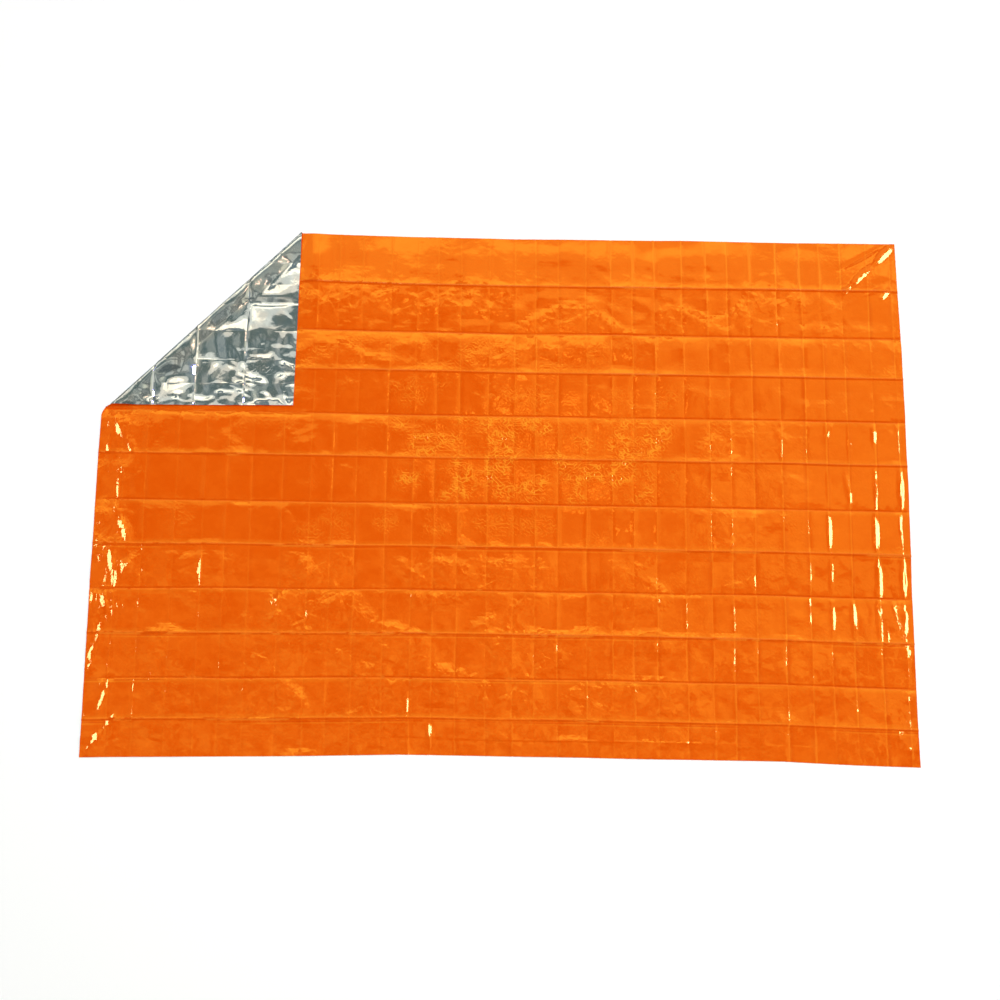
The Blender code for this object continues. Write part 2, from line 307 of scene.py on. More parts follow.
# Small folds scattered by chance: the area, how many, how long, half how wide and how high they are, and the
# angle from the film's length that they keep to, with its spread.
Crumple = namedtuple("Crumple", "along to_along across to_across count length half_width height angle spread")
CRUMPLES = table(
    Crumple,
    (0.00, 2.13, 0.14, 1.42, 470, 0.070, 0.016, 0.0005, 10, 60),
    (0.50, 1.95, 0.15, 0.27, 150, 0.075, 0.013, 0.0012, 0, 35),
    (0.62, 1.75, 0.08, 0.13, 16, 0.040, 0.008, -0.0014, 0, 25),
    (0.85, 1.35, 0.27, 0.38, 50, 0.060, 0.012, 0.0007, 0, 40),
    (0.00, 0.55, 0.50, 1.42, 130, 0.080, 0.014, 0.0008, 20, 60),
    (0.45, 1.75, 0.87, 1.42, 280, 0.070, 0.012, 0.0010, 15, 45),
    (1.70, 2.12, 0.90, 1.42, 110, 0.060, 0.010, 0.0010, 60, 40),
    (0.00, 0.16, 0.50, 1.42, 90, 0.050, 0.009, 0.0013, 70, 50),
    (0.15, 2.10, 1.33, 1.42, 120, 0.070, 0.009, 0.0010, 0, 35),
)
TURNED_CRUMPLES = table(
    Crumple,
    (0.00, 0.50, 0.00, 0.50, 18, 0.150, 0.026, 0.0030, 0, 22),
    (0.00, 0.50, 0.00, 0.50, 14, 0.150, 0.024, 0.0026, 90, 22),
    (0.00, 0.50, 0.00, 0.50, 46, 0.080, 0.011, 0.0010, 20, 80),
    (0.00, 0.18, 0.00, 0.18, 70, 0.060, 0.009, 0.0011, 45, 70),
    (0.00, 0.04, 0.00, 0.50, 60, 0.045, 0.008, 0.0010, 90, 50),
)
# Folds along the bend of the turned corner, as places (along the bend, past the end of its round).
BEND_FOLDS = table(
    Fold,
    (0.400, 0.006, 0.740, 0.006, 0.024, 0.0016),
    (0.010, 0.006, 0.420, 0.004, 0.020, 0.0010),
    (0.470, 0.050, 0.660, 0.044, 0.012, -0.0018),
    (0.240, 0.040, 0.440, 0.036, 0.009, -0.0012),
)

# How crumpled and how finely crinkled the film is, in areas. Each area lies over the ones before it.
Area = namedtuple("Area", "along to_along across to_across crumpled crinkled")
AREA_EDGE = 0.050
# Where the film is crumpled, a painted sheen shows in patches; where it is most crinkled, painted glints.
AREAS = table(
    Area,
    (-0.10, 2.23, -0.10, 1.52, 0.45, 0.40),
    (0.45, 2.00, 0.120, 0.290, 1.15, 0.30),
    (0.45, 1.90, -0.10, 0.130, 0.16, 0.20),
    (1.55, 1.90, 0.480, 1.000, 0.90, 0.70),
    (0.45, 1.35, 0.274, 0.387, 1.00, 1.20),
    (0.60, 1.55, 0.400, 0.509, 0.60, 1.20),
    (0.75, 1.53, 0.490, 0.770, 0.45, 2.80),
    (0.40, 1.45, 0.753, 0.871, 0.60, 1.20),
    (-0.10, 1.70, 0.880, 1.52, 1.60, 0.60),
    (1.50, 2.23, 0.987, 1.52, 1.00, 0.50),
    (0.10, 0.42, 0.880, 1.52, 1.00, 0.60),
    (-0.10, 0.12, 0.500, 1.52, 1.20, 0.60),
    (-0.10, 0.46, -0.10, 0.46, 0.60, 0.40),
    (-0.10, 0.16, -0.10, 0.16, 1.60, 1.00),
)

# The patches in which it is crumpled or crinkled: their size, how long they are for it, the layer of noise
# that they are cut from, and where in it they begin and are whole. Some crinkling is left between patches.
Patches = namedtuple("Patches", "size stretch layer low high")
CRUMPLED_PATCHES = Patches(size=0.110, stretch=1.5, layer=71.0, low=-0.22, high=0.12)
CRINKLED_PATCHES = Patches(size=0.070, stretch=1.2, layer=72.0, low=-0.10, high=0.16)
CRINKLED_BETWEEN = 0.2

# How far the lighter patches, a painted sheen standing in for the reflections of the crumples, show where the
# film is crumpled.
MOST_PAINTED_SHEEN = 0.75

# How far the creases wander off their straight lines.
WANDER = 0.0018
WANDER_SIZE = 0.150
WANDER_STRETCH = 1.6

# The seeds of what is thrown by chance, and the layers of noise that uneven things are read from.
CROSS_SEED = 5
CRUMPLE_SEED = 11
TURNED_CRUMPLE_SEED = 23
PANEL_SEED = 31
TURNED_PANEL_SEED = 37
PAINTED_LIGHT_SEED = 43
SWELL_LAYER = 3.0
TURNED_LAYER = 9.0
PLEAT_LAYER = 20.0
STRIP_LAYER = 40.0
WANDER_ALONG_LAYER = 51.0
WANDER_ACROSS_LAYER = 52.0
PAINTED_LIGHT_LAYER = 60.0

# The longest steps of the film's grid, and the areas where those over a length are cut in three, along the
# film only or both ways.
STEP_ALONG = 0.0104
STEP_ACROSS = 0.0120
CUT_ABOVE = 0.006
FineArea = namedtuple("FineArea", "along to_along across to_across both_ways")
FINE_AREAS = (
    FineArea(1.890, 2.125, 0.505, 1.115, both_ways=False),
    FineArea(1.965, 2.128, 0.004, 0.170, both_ways=True),
    FineArea(0.0, 0.110, 0.540, 1.390, both_ways=False),
)
# The half side of the grid as it is made, how near a cut takes an existing point, how near a line counts as
# on it, and the angle from which an edge is shaded crisp.
GRID_HALF = 0.5
CUT_SNAP = 0.0003
ON_LINE = 0.00001
CRISP_ANGLE = 12.0

# ----- Finishes -----

# A paler orange, for patches of uneven tone and for the painted sheen of the crumples, and the film's deep
# orange.
PALE_TONE_AND_SHEEN_ORANGE = (0.905, 0.121, 0.0030, 1.0)
DEEP_ORANGE = (0.835, 0.087, 0.0003, 1.0)
# A painted highlight along its creases, wrinkles and second lines, and a painted shade beside them.
PAINTED_HIGHLIGHT_ORANGE = (0.980, 0.260, 0.0140, 1.0)
PAINTED_SHADE_ORANGE = (0.710, 0.054, 0.0006, 1.0)
AMBER_GLOSS = (1.0, 0.68, 0.070, 1.0)
NEUTRAL_GLOSS = (1.0, 1.0, 1.0, 1.0)
SILVER = (0.925, 0.910, 0.850, 1.0)
STEEL = (0.830, 0.885, 0.880, 1.0)
FLOOR_WHITE = (0.950, 0.955, 0.950, 1.0)

# Patches of colour: the size and the fineness of the noise that they are cut from, how long they are for
# their size, where in the noise they begin and are whole, and how far they show.
ColourPatches = namedtuple("ColourPatches", "size detail roughness stretch low high share")
# The large and small patches are a painted sheen for the crumples' reflections; the wide ones are uneven
# tone.
LARGE_SHEEN_PATCHES = ColourPatches(0.055, 3.0, 0.60, 1.5, 0.47, 0.55, share=0.55)
SMALL_SHEEN_PATCHES = ColourPatches(0.024, 2.0, 0.60, 1.2, 0.48, 0.57, share=0.45)
WIDE_MOTTLES = ColourPatches(0.200, 0.0, 0.50, 1.0, 0.35, 0.65, share=0.25)
# Clusters of painted glints along the finest wrinkles.
WRINKLE_GLINT_CLUSTERS = ColourPatches(0.024, 0.0, 0.50, 1.0, 0.36, 0.62, share=0.42)
# Where the second lines, painted highlight and shade, show.
SECOND_LINE_RUNS = ColourPatches(0.050, 0.0, 0.50, 6.0, 0.36, 0.56, share=1.0)
SILVER_PATCHES = ColourPatches(0.060, 1.0, 0.50, 1.0, 0.42, 0.60, share=1.0)

# How far apart the finest wrinkles are, how high they stand, how wide they and their painted glint lines are,
# as a share of the noise, and how crinkled the film is at least where those painted glints show.
WRINKLE_SIZE = 0.0105
WRINKLE_HEIGHT = 0.00020
WRINKLE_WIDTH = 0.40
PAINTED_GLINT_WIDTH = 0.34
PAINTED_GLINT_ABOVE = 0.6
# How far the painted highlight along the creases shows.
PAINTED_HIGHLIGHT_SHOWS = 0.5
# Second, fainter lines beside some of the creases along the film, each a painted highlight with a painted
# shade
# beside it: half how wide each is, how far from it, towards its crease, the shade lies, and how far both
# show.
SECOND_LINES = (0.880, 1.114, 1.2295, 1.337)
SECOND_LINE_HALF = 0.0024
SECOND_LINE_SHADE = 0.0042
SECOND_LINE_PAINTED_HIGHLIGHT = 0.35
SECOND_LINE_PAINTED_SHADE = 0.55
# The bump of the crumples: soft creases, and flat facets of two sizes.
CREASED_SIZE = 0.055
CREASED_STRETCH = 1.6
CREASED_ROUGHNESS = 0.6
CREASED_HEIGHT = 0.00100
Facets = namedtuple("Facets", "size angle height")
FACETS = (
    Facets(size=0.070, angle=25.0, height=0.00300),
    Facets(size=0.032, angle=68.0, height=0.00130),
)


class Value:
    """A socket of a node tree that takes part in sums: each sum or product adds its own Math node."""

    def __init__(self, nodes, socket):
        self.nodes = nodes
        self.socket = socket

    def math(self, operation, *values):
        inputs = dict(enumerate(values))
        return self.nodes.add("ShaderNodeMath", {"operation": operation}, inputs)["Value"]

    def __add__(self, other):
        return self.math("ADD", self, other)

    __radd__ = __add__

    def __sub__(self, other):
        return self.math("SUBTRACT", self, other)

    def __rsub__(self, other):
        return self.math("SUBTRACT", other, self)

    def __mul__(self, other):
        return self.math("MULTIPLY", self, other)

    __rmul__ = __mul__

    def __truediv__(self, other):
        return self.math("DIVIDE", self, other)

    def magnitude(self):
        return self.math("ABSOLUTE", self)

    def positive(self):
        return self.math("MAXIMUM", self, 0.0)

    def above(self, low, high):
        """0 below low and 1 above high, with a soft step between."""
        settings = {"interpolation_type": "SMOOTHSTEP"}
        ends = {"Value": self, "From Min": low, "From Max": high}
        return self.nodes.add("ShaderNodeMapRange", settings, ends)["Result"]


class Outputs:
    """The outputs of a node, by name, as values."""

    def __init__(self, nodes, node):
        self.nodes = nodes
        self.node = node

    def __getitem__(self, name):
        return Value(self.nodes, self.node.outputs[name])


class Nodes:
    """The node tree of a material or a world, emptied and filled again."""

    def __init__(self, owner):
        owner.use_nodes = True
        self.tree = owner.node_tree
        self.tree.nodes.clear()

    def add(self, kind, settings=None, inputs=None):
        """A node, with its settings made first, and then the values or the links of its sockets."""
        node = self.tree.nodes.new(kind)
        for name, setting in (settings or {}).items():
            setattr(node, name, setting)
        for name, value in (inputs or {}).items():
            if isinstance(value, Value):
                self.tree.links.new(value.socket, node.inputs[name])
            else:
                node.inputs[name].default_value = value
        return Outputs(self, node)


def film_place(nodes):
    """The place on the film, (along, across)."""
    return nodes.add("ShaderNodeUVMap", {"uv_map": "film"})["UV"]


def film_noise(nodes, size, detail=0.0, roughness=0.5, stretch=1.0):
    """Noise between 0 and 1 over the film, with swells of this size in metres."""
    scale = {"Vector": film_place(nodes), "Scale": (1.0 / (size * stretch), 1.0 / size, 1.0)}
    spread = nodes.add("ShaderNodeMapping", None, scale)["Vector"]
    inputs = {"Vector": spread, "Scale": 1.0, "Detail": detail, "Roughness": roughness}
    return nodes.add("ShaderNodeTexNoise", None, inputs)["Fac"]


def film_facets(nodes, size, angle):
    """The distance to the nearest of many points over the film, which folds it into flat facets."""
    scale = (1.0 / size, 1.0 / size, 1.0)
    turn = {"Vector": film_place(nodes), "Rotation": (0.0, 0.0, math.radians(angle)), "Scale": scale}
    spread = nodes.add("ShaderNodeMapping", None, turn)["Vector"]
    settings = {"distance": "CHEBYCHEV", "feature": "F1"}
    return nodes.add("ShaderNodeTexVoronoi", settings, {"Vector": spread, "Scale": 1.0})["Distance"]


def total(values):
    """The sum of a list of values, which a plain sum would start at the number 0."""
    return sum(values[1:], values[0])


def attribute(nodes, name):
    """An amount that the film's points carry."""
    return nodes.add("ShaderNodeAttribute", {"attribute_name": name})["Fac"]


def mixed(nodes, share, first, second):
    """A colour between two, where share goes from 0 to 1."""
    mix = nodes.add("ShaderNodeMix", {"data_type": "RGBA"})
    colour_inputs = [socket for socket in mix.node.inputs if socket.type == "RGBA"]
    nodes.tree.links.new(share.socket, mix.node.inputs[0])
    for socket, value in zip(colour_inputs, (first, second)):
        if isinstance(value, Value):
            nodes.tree.links.new(value.socket, socket)
        else:
            socket.default_value = value
    output = next(socket for socket in mix.node.outputs if socket.type == "RGBA")
    return Value(nodes, output)


def crisp(value):
    """Noise folded at its middle, so that its swells meet in crisp lines."""
    return (value - 0.5).magnitude() * 2.0


def principled(nodes, inputs):
    """The shader of a material, with the values or the links of its sockets."""
    shader = nodes.add("ShaderNodeBsdfPrincipled", None, inputs)["BSDF"]
    nodes.add("ShaderNodeOutputMaterial", None, {"Surface": shader})


def colour_patches(nodes, patches):
    """How far the colour of some patches shows at each place of the film."""
    found = film_noise(nodes, patches.size, patches.detail, patches.roughness, patches.stretch)
    return found.above(patches.low, patches.high) * patches.share


def wrinkle_lines(nodes, width):
    """1 on the lines of the finest wrinkles and 0 between them."""
    return 1.0 - crisp(film_noise(nodes, WRINKLE_SIZE)).above(0.0, width)


def film_finish(name, colour, gloss, index, roughness, metallic, crinkle):
    """A film's finish: its colour, its gloss, and fine crinkles as a bump."""
    material = bpy.data.materials.new(name)
    nodes = Nodes(material)
    creased = crisp(film_noise(nodes, CREASED_SIZE, 1.0, CREASED_ROUGHNESS, CREASED_STRETCH)) * CREASED_HEIGHT
    folded = total([film_facets(nodes, facets.size, facets.angle) * facets.height for facets in FACETS])
    wrinkles = wrinkle_lines(nodes, WRINKLE_WIDTH) * WRINKLE_HEIGHT
    crumples = (creased + folded) * attribute(nodes, "crumpled")
    height = (crumples + wrinkles * attribute(nodes, "crinkled")) * crinkle
    bump = nodes.add("ShaderNodeBump", None, {"Strength": 1.0, "Distance": 1.0, "Height": height})["Normal"]
    surface = {"Base Color": colour(nodes), "Roughness": roughness, "Metallic": metallic}
    principled(nodes, surface | {"IOR": index, "Specular Tint": gloss, "Normal": bump})
    return material


def second_lines(across, shift):
    """Where the second lines are, moved this far towards their creases."""
    away = [(across - (line - shift)).magnitude() for line in SECOND_LINES]
    return total([1.0 - distance.above(0.0, SECOND_LINE_HALF) for distance in away])


def orange_finish():
    def colour(nodes):
        painted_crease_light = attribute(nodes, "painted_crease_light")
        crinkled = attribute(nodes, "crinkled")
        # Lighter patches: a painted sheen for the crumples' reflections where crumpled, and wide patches of
        # uneven tone.
        mottles = colour_patches(nodes, LARGE_SHEEN_PATCHES) + colour_patches(nodes, SMALL_SHEEN_PATCHES)
        light = mottles * attribute(nodes, "painted_sheen") + colour_patches(nodes, WIDE_MOTTLES)
        # Painted glints in clusters along the finest wrinkles, where the film is most crinkled.
        glint_clusters = colour_patches(nodes, WRINKLE_GLINT_CLUSTERS) * (crinkled - PAINTED_GLINT_ABOVE).positive()
        across = nodes.add("ShaderNodeSeparateXYZ", None, {"Vector": film_place(nodes)})["Y"]
        runs = colour_patches(nodes, SECOND_LINE_RUNS)
        # The second lines: a painted highlight, and a painted shade beside it.
        painted_line_highlight = runs * second_lines(across, 0.0) * SECOND_LINE_PAINTED_HIGHLIGHT
        painted_line_shade = runs * second_lines(across, SECOND_LINE_SHADE) * SECOND_LINE_PAINTED_SHADE
        # Painted highlight along creases, wrinkles and second lines; painted shade beside creases and second
        # lines.
        painted_highlight = painted_crease_light.positive() * PAINTED_HIGHLIGHT_SHOWS + wrinkle_lines(nodes, PAINTED_GLINT_WIDTH) * glint_clusters + painted_line_highlight
        painted_shade = (painted_crease_light * -1.0).positive() + painted_line_shade
        film = mixed(nodes, light, DEEP_ORANGE, PALE_TONE_AND_SHEEN_ORANGE)
        return mixed(nodes, painted_shade, mixed(nodes, painted_highlight, film, PAINTED_HIGHLIGHT_ORANGE), PAINTED_SHADE_ORANGE)

    return film_finish(
        "orange_film", colour, AMBER_GLOSS, index=2.5, roughness=0.06, metallic=0.0, crinkle=1.0
    )


def silver_finish():
    def colour(nodes):
        return mixed(nodes, colour_patches(nodes, SILVER_PATCHES), STEEL, SILVER)

    return film_finish(
        "silver_film", colour, NEUTRAL_GLOSS, index=1.5, roughness=0.07, metallic=0.95, crinkle=0.3
    )


# ----- The film's shape -----


def smooth(share):
    """0 below 0 and 1 above 1, with a soft step between."""
    share = np.clip(share, 0.0, 1.0)
    return share * share * (3.0 - 2.0 * share)


def table_values(rows, column, places):
    """A column of a table, read between its rows by their first column."""
    return np.interp(places, [row[0] for row in rows], [getattr(row, column) for row in rows])


def cross_creases():
    """(distance from the left edge, way in the far strip) of each crease across the film."""
    found = []
    ends = GROUP_STARTS[1:] + (GROUP_STARTS[-1] + LAST_GROUP,)
    for start, end in zip(GROUP_STARTS, ends):
        for crease in CROSS_CREASES:
            along = start + crease.share * (end - start)
            if EDGE_CLEARANCE < along < LENGTH - EDGE_CLEARANCE:
                found.append((along, crease.way))
    return found


def grid_lines(creases, flank, end, longest):
    """Lines at each crease and on both of its flanks, with even steps between."""
    stops = {0.0, end}
    for crease in creases:
        stops |= {crease - flank, crease, crease + flank}
    lines = []
    stops = sorted(stops)
    for low, high in zip(stops, stops[1:]):
        steps = max(1, math.ceil((high - low) / longest))
        lines += [low + (high - low) * step / steps for step in range(steps)]
    return lines + [end]


def peak(away):
    """1 at a line, falling evenly to 0 at a distance of 1 on both sides."""
    return np.clip(1.0 - np.abs(away), 0.0, 1.0)


def crest(away, flank, tail):
    """The profile of a crease: straight flanks at its line, and a soft tail beside them."""
    return CREST_SHARP * peak(away / flank) + (1.0 - CREST_SHARP) * np.exp(-np.abs(away) / tail)


def swell(along, across, size, stretch, layer):
    """Smooth noise between about -1 and 1 over the film, longer along the film than across it."""
    places = zip(along / (size * stretch), across / size)
    return np.array([noise.noise(Vector((x, y, layer))) for x, y in places])


def swell_along(along, size, layer):
    """Smooth noise along the film that is the same all the way across it."""
    return swell(along, np.zeros_like(along), size, 1.0, layer)


def pleat_relief(along, across):
    height = np.zeros_like(along)
    for layer, pleat in enumerate(PLEATS):
        strength = 1.0 + PLEAT_UNEVEN * swell_along(along, PLEAT_UNEVEN_SIZE, PLEAT_LAYER + layer)
        height += pleat.way * pleat.height * strength * crest(across - pleat.across, PLEAT_FLANK, PLEAT_TAIL)
    return height


def strip_edges():
    return np.array([0.0] + [pleat.across for pleat in PLEATS] + [WIDTH])


def strip_relief(along, across):
    """The slight zigzag of the strips between the pleats' ridges and troughs, and the wave of each."""
    places = strip_edges()
    heights = [0.0] + [STRIP_RISE * (pleat.way > 0) for pleat in PLEATS] + [0.0]
    strip = strip_of(across)
    share = (across - places[strip]) / np.diff(places)[strip]
    wave = np.array(STRIP_WAVES)[strip] * np.sin(2.0 * math.pi * share)
    wave *= 1.0 + STRIP_UNEVEN * swell(along, strip.astype(float), STRIP_UNEVEN_SIZE, 1.0, STRIP_LAYER)
    return np.interp(across, places, heights) + wave


def panel_relief(along, across, lift, bulge, seed):
    """Panels between the creases: each crossing of two creases at its own height, and each panel bulging."""
    columns = np.array([0.0] + [crease for crease, _ in cross_creases()] + [LENGTH])
    rows = strip_edges()
    chance = np.random.default_rng(seed)
    crossings = chance.uniform(-lift, lift, (len(columns), len(rows)))
    bulges = chance.uniform(-bulge, bulge, (len(columns), len(rows)))
    column = np.clip(np.searchsorted(columns, along) - 1, 0, len(columns) - 2)
    row = np.clip(np.searchsorted(rows, across) - 1, 0, len(rows) - 2)
    to_right = (along - columns[column]) / (columns[column + 1] - columns[column])
    to_near = (across - rows[row]) / (rows[row + 1] - rows[row])
    far = crossings[column, row] * (1.0 - to_right) + crossings[column + 1, row] * to_right
    near = crossings[column, row + 1] * (1.0 - to_right) + crossings[column + 1, row + 1] * to_right
    bulged = bulges[column, row] * np.sin(math.pi * to_right) * np.sin(math.pi * to_near)
    return far * (1.0 - to_near) + near * to_near + bulged


def strip_of(across):
    """Which strip between two pleats a place is in, counted from the far one."""
    return np.searchsorted([pleat.across for pleat in PLEATS], across)


def cross_relief(along, across):
    """The cross creases. Each has its own strength in each strip, and none crosses a pleat's own line."""
    strip = strip_of(across)
    way_here = 1 - 2 * (strip % 2)
    nearest_pleat = np.min([np.abs(across - pleat.across) for pleat in PLEATS], axis=0)
    clear = smooth(nearest_pleat / PLEAT_CLEARANCE)
    chance = np.random.default_rng(CROSS_SEED)
    height = np.zeros_like(along)
    for crease, way in cross_creases():
        strengths = chance.uniform(*CROSS_CHANCE, len(PLEATS) + 1)
        strength = strengths[strip] * table_values(CROSS_STRENGTHS, "strength", crease)
        profile = crest(along - crease, CROSS_FLANK, CROSS_TAIL)
        height += way * way_here * strength * CROSS_HEIGHT * clear * profile
    return height


def paint_crease_light_and_shade(along, across):
    """The painted highlight along each crease, and the painted shade beside it where it is below zero."""
    strip = strip_of(across)
    chance = np.random.default_rng(PAINTED_LIGHT_SEED)
    painted_crease_light = np.zeros_like(along)
    for crease, way in cross_creases():
        strengths = chance.uniform(*PAINTED_LIGHT_CHANCE, len(PLEATS) + 1)
        strength = strengths[strip] * table_values(PAINTED_CREASE_STRENGTHS, "strength", crease)
        away = (along - crease) / CROSS_FLANK
        painted_crease_light += strength * (peak(away) - CROSS_SHADE * peak(away - way))
    for layer, pleat in enumerate(PLEATS):
        strength = PLEAT_PAINTED_LIGHT * (1.0 + swell_along(along, PLEAT_PAINTED_LIGHT_SIZE, PAINTED_LIGHT_LAYER + layer))
        away = (across - pleat.across) / PLEAT_FLANK
        painted_crease_light += strength * (peak(away + pleat.way) - PLEAT_SHADE * peak(away))
    return painted_crease_light


def scattered(crumple, chance):
    """Folds thrown over an area by chance, half of them ridges and half troughs."""
    for _ in range(crumple.count):
        along = chance.uniform(crumple.along, crumple.to_along)
        across = chance.uniform(crumple.across, crumple.to_across)
        angle = math.radians(crumple.angle + chance.uniform(-crumple.spread, crumple.spread))
        length = crumple.length * chance.uniform(*LENGTH_CHANCE)
        step_along = math.cos(angle) * length / 2.0
        step_across = math.sin(angle) * length / 2.0
        yield Fold(
            along - step_along, across - step_across, along + step_along, across + step_across,
            half_width=crumple.half_width * chance.uniform(*WIDTH_CHANCE),
            height=crumple.height * chance.uniform(*HEIGHT_CHANCE) * chance.choice((-1, 1)),
        )


def fold_relief(along, across, folds):
    """The sum of many straight folds, each highest at its middle and gone at its ends."""
    height = np.zeros_like(along)
    order = np.argsort(along)
    sorted_along = along[order]
    for fold in folds:
        run = Vector((fold.to_along - fold.along, fold.to_across - fold.across))
        direction = run.normalized()
        nearest = min(fold.along, fold.to_along) - fold.half_width
        furthest = max(fold.along, fold.to_along) + fold.half_width
        first, last = np.searchsorted(sorted_along, (nearest, furthest))
        near = order[first:last]
        from_along = along[near] - fold.along
        from_across = across[near] - fold.across
        share = (from_along * direction.x + from_across * direction.y) / run.length
        length_shape = np.clip(4.0 * share * (1.0 - share), 0.0, 1.0)
        half_width = fold.half_width * (FOLD_END_WIDTH + (1.0 - FOLD_END_WIDTH) * length_shape)
        away = (from_along * direction.y - from_across * direction.x) / half_width
        height[near] += fold.height * length_shape * peak(away)
    return height


def film_relief(along, across):
    """The height of the film over its own plane, towards its orange face."""
    chance = np.random.default_rng(CRUMPLE_SEED)
    folds = list(PULLS)
    for crumple in CRUMPLES:
        folds += scattered(crumple, chance)
    height = strip_relief(along, across) + pleat_relief(along, across) + cross_relief(along, across)
    height += panel_relief(along, across, CROSSING_LIFT, PANEL_BULGE, PANEL_SEED)
    height += fold_relief(along, across, folds)
    for layer, wave in enumerate(SWELLS):
        height += wave.height * swell(along, across, wave.size, wave.stretch, SWELL_LAYER + layer)
    return height


def turned_relief(along, across, reach, past):
    """The crumples of the turned corner alone."""
    chance = np.random.default_rng(TURNED_CRUMPLE_SEED)
    folds = []
    for crumple in TURNED_CRUMPLES:
        folds += scattered(crumple, chance)
    wave = TURNED_SWELL
    height = panel_relief(along, across, TURNED_CROSSING_LIFT, TURNED_PANEL_BULGE, TURNED_PANEL_SEED)
    height += fold_relief(along, across, folds)
    height += wave.height * swell(along, across, wave.size, wave.stretch, TURNED_LAYER)
    bend_folds = fold_relief(reach, past, BEND_FOLDS) * smooth(past / BEND_FOLDS_BEGIN)
    return height * smooth(past / CRUMPLES_BEGIN) + bend_folds


def area_values(along, across, column):
    """How crumpled or crinkled the film is, with soft edges between its areas."""
    found = np.zeros_like(along)
    for area in AREAS:
        inside = smooth((along - area.along) / AREA_EDGE) * smooth((area.to_along - along) / AREA_EDGE)
        inside *= smooth((across - area.across) / AREA_EDGE) * smooth((area.to_across - across) / AREA_EDGE)
        found += (getattr(area, column) - found) * inside
    return found


def in_patches(along, across, patches):
    """1 in patches of the film and 0 between them, with soft edges."""
    found = swell(along, across, patches.size, patches.stretch, patches.layer)
    return smooth((found - patches.low) / (patches.high - patches.low))


def film_amounts(along, across):
    """What the points of the film carry for its finishes, by name."""
    crumpled = area_values(along, across, "crumpled")
    crinkled = area_values(along, across, "crinkled")
    some = CRINKLED_BETWEEN + (1.0 - CRINKLED_BETWEEN) * in_patches(along, across, CRINKLED_PATCHES)
    return {
        "crumpled": crumpled * in_patches(along, across, CRUMPLED_PATCHES),
        "crinkled": crinkled * some,
        "painted_sheen": np.minimum(crumpled, 1.0) * MOST_PAINTED_SHEEN,
        "painted_crease_light": paint_crease_light_and_shade(along, across),
    }


class Bend:
    """The soft diagonal bend of the turned corner, and the film beyond it."""

    def __init__(self):
        outline = (BEND_FAR - BEND_LEFT).normalized()
        outwards = Vector((outline.y, -outline.x))
        self.start = BEND_LEFT - outwards * RADIUS_LEFT
        end = BEND_FAR - outwards * RADIUS_FAR
        self.length = (end - self.start).length
        self.along_bend = (end - self.start).normalized()
        self.outwards = Vector((self.along_bend.y, -self.along_bend.x))
        corner_reach, corner_beyond = self.coordinates(0.0, 0.0)
        lies_reach, lies_beyond = self.coordinates(*CORNER_LIES_AT)
        self.corner_past = corner_beyond - math.pi * self.radius(corner_reach)
        self.shrink = -lies_beyond / self.corner_past
        self.corner_slip = lies_reach - corner_reach - self.slip(corner_reach)

    def coordinates(self, along, across):
        """(distance along the bend, distance beyond its start)."""
        from_along = along - self.start.x
        from_across = across - self.start.y
        reach = from_along * self.along_bend.x + from_across * self.along_bend.y
        beyond = from_along * self.outwards.x + from_across * self.outwards.y
        return reach, beyond

    def radius(self, reach):
        return np.interp(reach / self.length, (0.0, 1.0), (RADIUS_LEFT, RADIUS_FAR))

    def slip(self, reach):
        return np.interp(reach / self.length, (0.0, 1.0), (SLIP_LEFT, SLIP_FAR))

    def cut_lines(self):
        """(place, direction across the cut) of each line of the bend's round."""
        for step in range(BEND_STEPS + 1):
            turned = math.pi * step / BEND_STEPS
            first = self.start + self.outwards * turned * RADIUS_LEFT
            last = self.start + self.along_bend * self.length + self.outwards * turned * RADIUS_FAR
            direction = (last - first).normalized()
            yield first, Vector((direction.y, -direction.x))

    def past(self, along, across):
        """How far beyond the end of the bend's round a place is."""
        reach, beyond = self.coordinates(along, across)
        return beyond - math.pi * self.radius(reach)

    def relief_share(self, along, across):
        """The share of the film's relief that is left where the turned corner holds it down."""
        beyond = self.coordinates(along, across)[1]
        clear = np.maximum(along - CORNER_LIES_AT.x, across - CORNER_LIES_AT.y) / RELIEF_FADE
        share = PRESSED_RELIEF + (1.0 - PRESSED_RELIEF) * smooth(clear)
        return np.where(beyond > 0.0, TURNED_RELIEF, share)

    def turned(self, along, across, height, crumple):
        """(x, y, z) over the surface of places on the film, with their height over the film's own plane."""
        reach, beyond = self.coordinates(along, across)
        fade = 1.0 - smooth(beyond / EDGE_DRAW_FADE)
        shift_along, shift_across = drawn_in(along, across)
        radius = self.radius(reach)
        round_length = math.pi * radius
        angle = np.clip(beyond / radius, 0.0, math.pi)
        inner = radius - height
        past = np.clip(beyond - round_length, 0.0, None)
        in_round = beyond < round_length
        out = np.where(beyond <= 0.0, beyond, np.where(in_round, inner * np.sin(angle), -past * self.shrink))
        settled = smooth(past / (SINKING_SHARE * self.corner_past))
        turned_level = 2.0 * radius - height + settled * (CORNER_HEIGHT - 2.0 * radius)
        turned_level = np.maximum(turned_level + crumple, LOWEST_TURNED)
        round_level = radius - inner * np.cos(angle)
        level = np.where(beyond <= 0.0, height, np.where(in_round, round_level, turned_level))
        level = np.maximum(level, 0.0)
        slip = self.slip(reach) * smooth(beyond / round_length) + self.corner_slip * past / self.corner_past
        x = self.start.x + self.along_bend.x * (reach + slip) + self.outwards.x * out + shift_along * fade
        y = self.start.y + self.along_bend.y * (reach + slip) + self.outwards.y * out + shift_across * fade
        return x - LENGTH / 2.0, WIDTH / 2.0 - y, level


